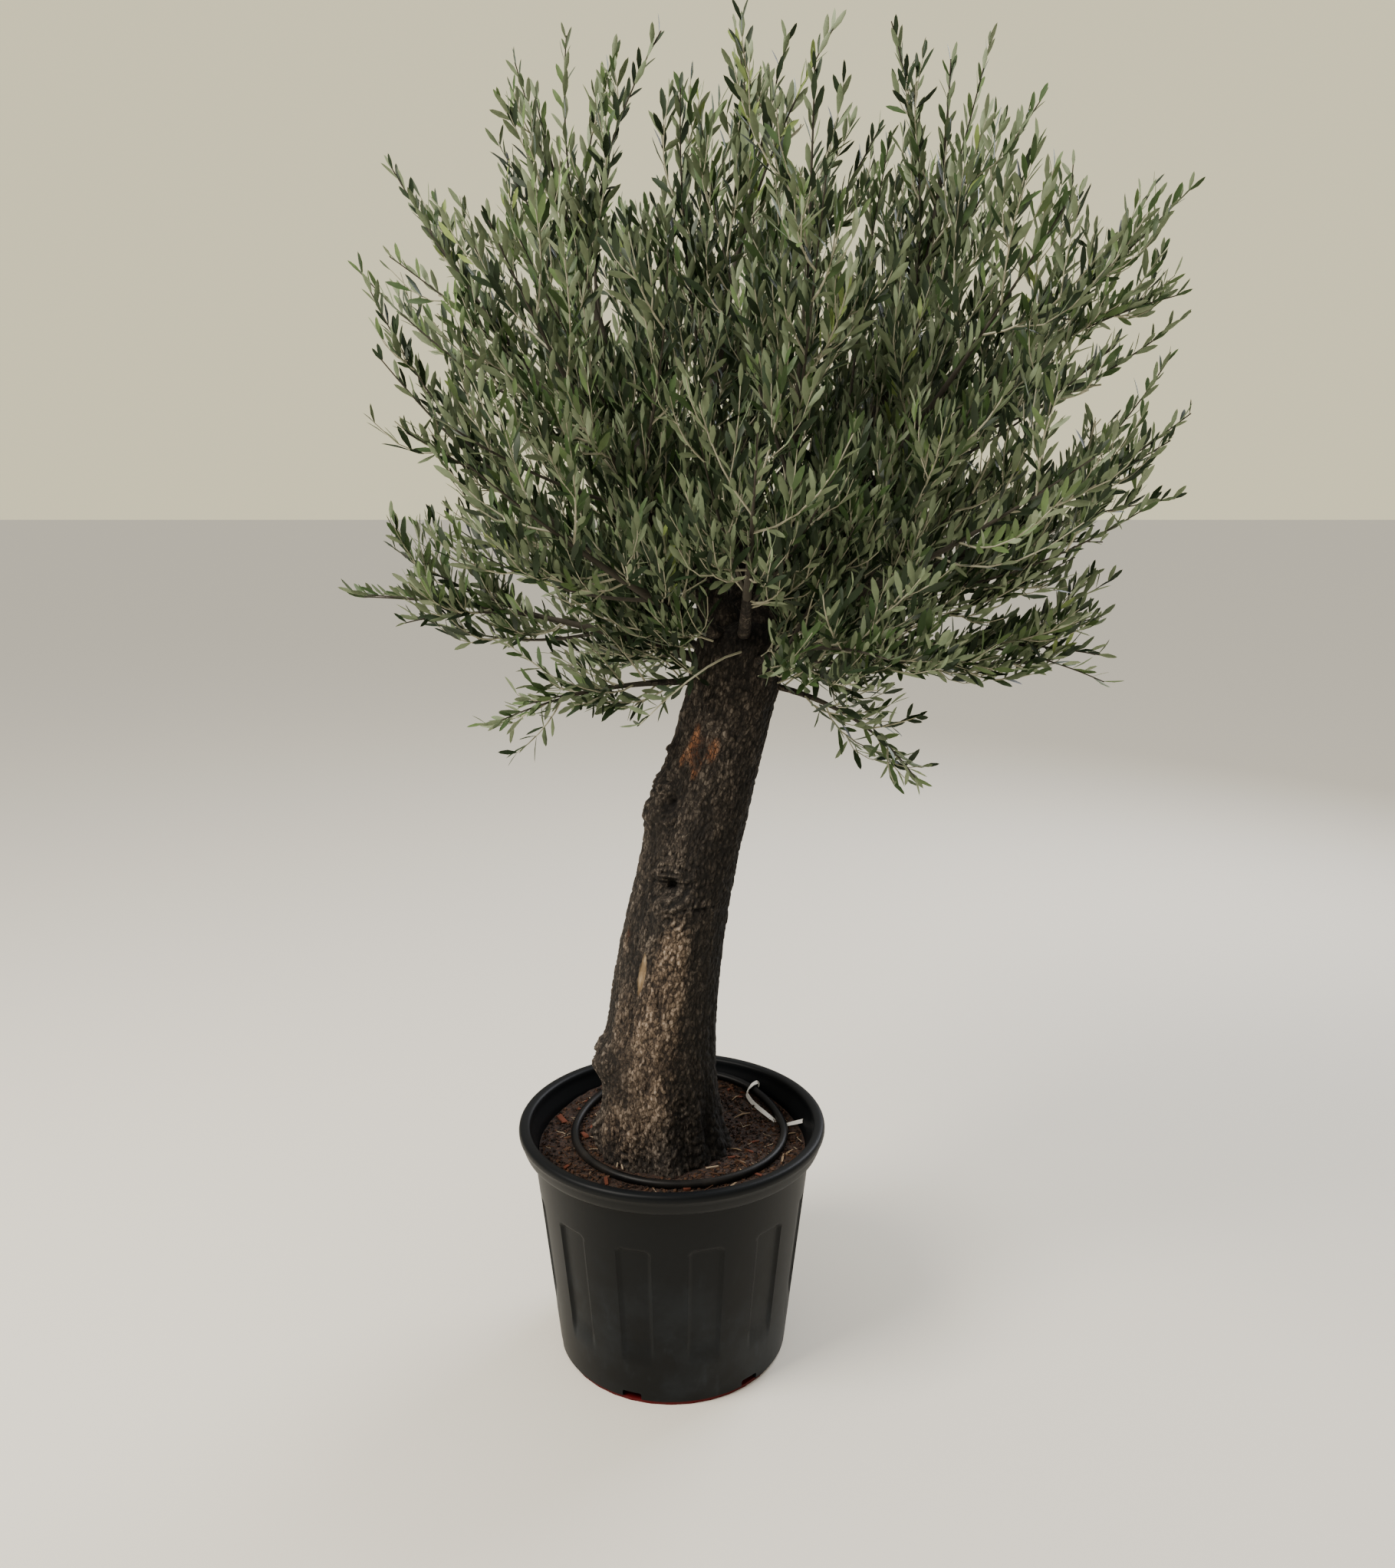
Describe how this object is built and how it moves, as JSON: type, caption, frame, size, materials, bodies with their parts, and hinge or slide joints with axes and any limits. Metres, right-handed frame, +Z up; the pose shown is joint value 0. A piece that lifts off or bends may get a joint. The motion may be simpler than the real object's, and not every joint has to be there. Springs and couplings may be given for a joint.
{
  "type": "potted olive tree",
  "caption": "Old olive tree with a thick leaning trunk and an open ball of grey-green shoots, in a black fluted nursery pot with a drip ring on the soil.",
  "frame": {"origin": "middle of the flat underside that the pot stands on", "axes": "+Z up, -Y to the front as pictured, +X to the viewer's right, which is the way the trunk leans"},
  "size_m": [1.4982, 1.3318, 2.4451],
  "materials": {
    "pot": "matte black moulded plastic, dusty",
    "plate": "dark red plastic",
    "soil": "dark potting mix with bark chips",
    "pipe": "black polythene tube",
    "strap": "plain white plastic strap",
    "bark": "deeply furrowed grey-brown bark",
    "bough": "grey-brown bark",
    "leaf": "leathery leaves, grey-green above and silvery below"
  },
  "bodies": {
    "root": {"bough_back": "bough", "bough_front": "bough", "bough_hanging_left": "bough", "bough_hanging_right": "bough", "bough_left": "bough", "bough_left_front": "bough", "bough_low_back": "bough", "bough_low_front": "bough", "bough_low_left": "bough", "bough_low_right": "bough", "bough_right": "bough", "bough_right_back": "bough", "bough_right_front": "bough", "bough_top_back": "bough", "bough_top_centre": "bough", "bough_top_front": "bough", "bough_top_left": "bough", "bough_top_right": "bough", "bough_upper_left": "bough", "bough_upper_left_back": "bough", "bough_upper_left_front": "bough", "bough_upper_right": "bough", "bough_upper_right_back": "bough", "bough_upper_right_front": "bough", "drip_ring": "pipe", "foliage_back": "leaf", "foliage_front": "leaf", "foliage_hanging_left": "leaf", "foliage_hanging_right": "leaf", "foliage_left": "leaf", "foliage_left_front": "leaf", "foliage_low_back": "leaf", "foliage_low_front": "leaf", "foliage_low_left": "leaf", "foliage_low_right": "leaf", "foliage_right": "leaf", "foliage_right_back": "leaf", "foliage_right_front": "leaf", "foliage_top_back": "leaf", "foliage_top_centre": "leaf", "foliage_top_front": "leaf", "foliage_top_left": "leaf", "foliage_top_right": "leaf", "foliage_upper_left": "leaf", "foliage_upper_left_back": "leaf", "foliage_upper_left_front": "leaf", "foliage_upper_right": "leaf", "foliage_upper_right_back": "leaf", "foliage_upper_right_front": "leaf", "foot_plate": "plate", "label_strap": "strap", "pot": "pot", "soil": "soil", "trunk": "bark"}
  },
  "joints": []
}
